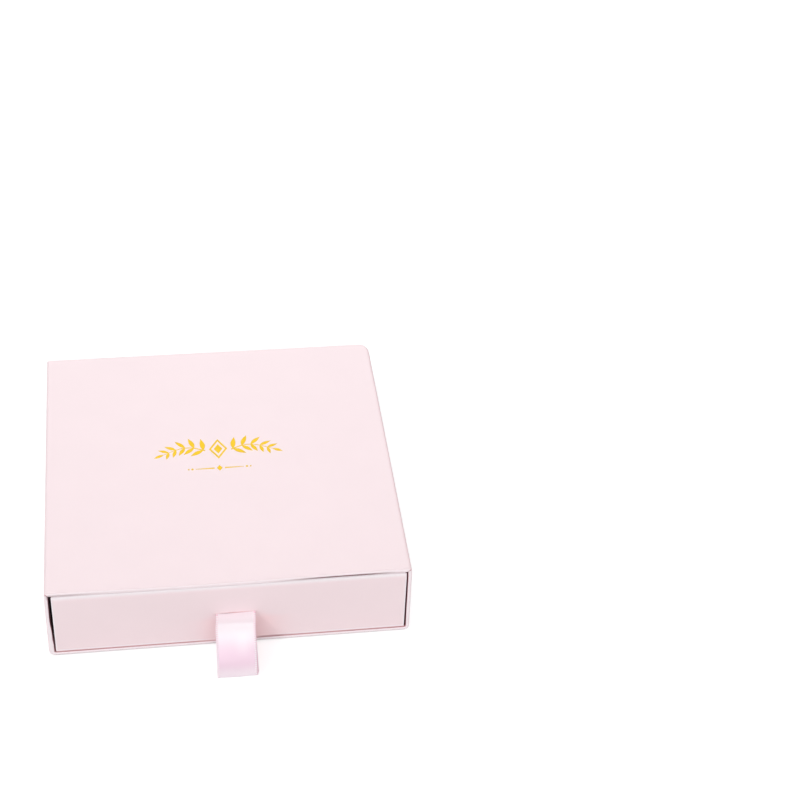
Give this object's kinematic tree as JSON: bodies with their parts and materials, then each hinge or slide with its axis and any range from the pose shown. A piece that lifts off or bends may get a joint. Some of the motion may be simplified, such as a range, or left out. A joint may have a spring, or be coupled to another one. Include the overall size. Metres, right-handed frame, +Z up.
{
  "type": "sliding drawer gift box",
  "caption": "Flat square rigid gift box: a paper-covered sleeve, closed at the back, with a drawer that slides out of its front on a folded satin ribbon pull.",
  "frame": {"origin": "centre of the sleeve's underside, on the surface that the box stands on", "axes": "+Z up, the drawer opens towards -Y, +X to the right as seen from behind the mouth looking in along +Y"},
  "size_m": [0.2, 0.2261, 0.049],
  "materials": {
    "greyboard": "matte",
    "stay_tape": "matte",
    "blush_paper": "matte",
    "lining_paper": "matte",
    "satin_ribbon": "satin"
  },
  "bodies": {
    "sleeve": {"sleeve_channel_board": "greyboard", "sleeve_top_board": "greyboard", "sleeve_back_board": "greyboard", "sleeve_corner_tapes": "stay_tape", "sleeve_wrap": "blush_paper", "sleeve_bottom_sheet": "blush_paper", "sleeve_back_sheet": "blush_paper"},
    "drawer": {"drawer_base_board": "greyboard", "drawer_front_board": "greyboard", "drawer_back_board": "greyboard", "drawer_left_board": "greyboard", "drawer_right_board": "greyboard", "drawer_corner_tapes": "stay_tape", "drawer_wrap": "blush_paper", "drawer_liner": "lining_paper", "ribbon_tails": "satin_ribbon"},
    "pull_ribbon": {"ribbon_loop": "satin_ribbon"}
  },
  "joints": [
    {"name": "drawer_slide", "type": "slide", "parent": "sleeve", "child": "drawer", "axis": [0, -1, 0], "range_m": [0, 0.2]},
    {"name": "ribbon_lift", "type": "hinge", "parent": "drawer", "child": "pull_ribbon", "pos_m": [0.0025, -0.10032, 0.02353], "axis": [-1, 0, 0], "range_deg": [0, 55]}
  ]
}
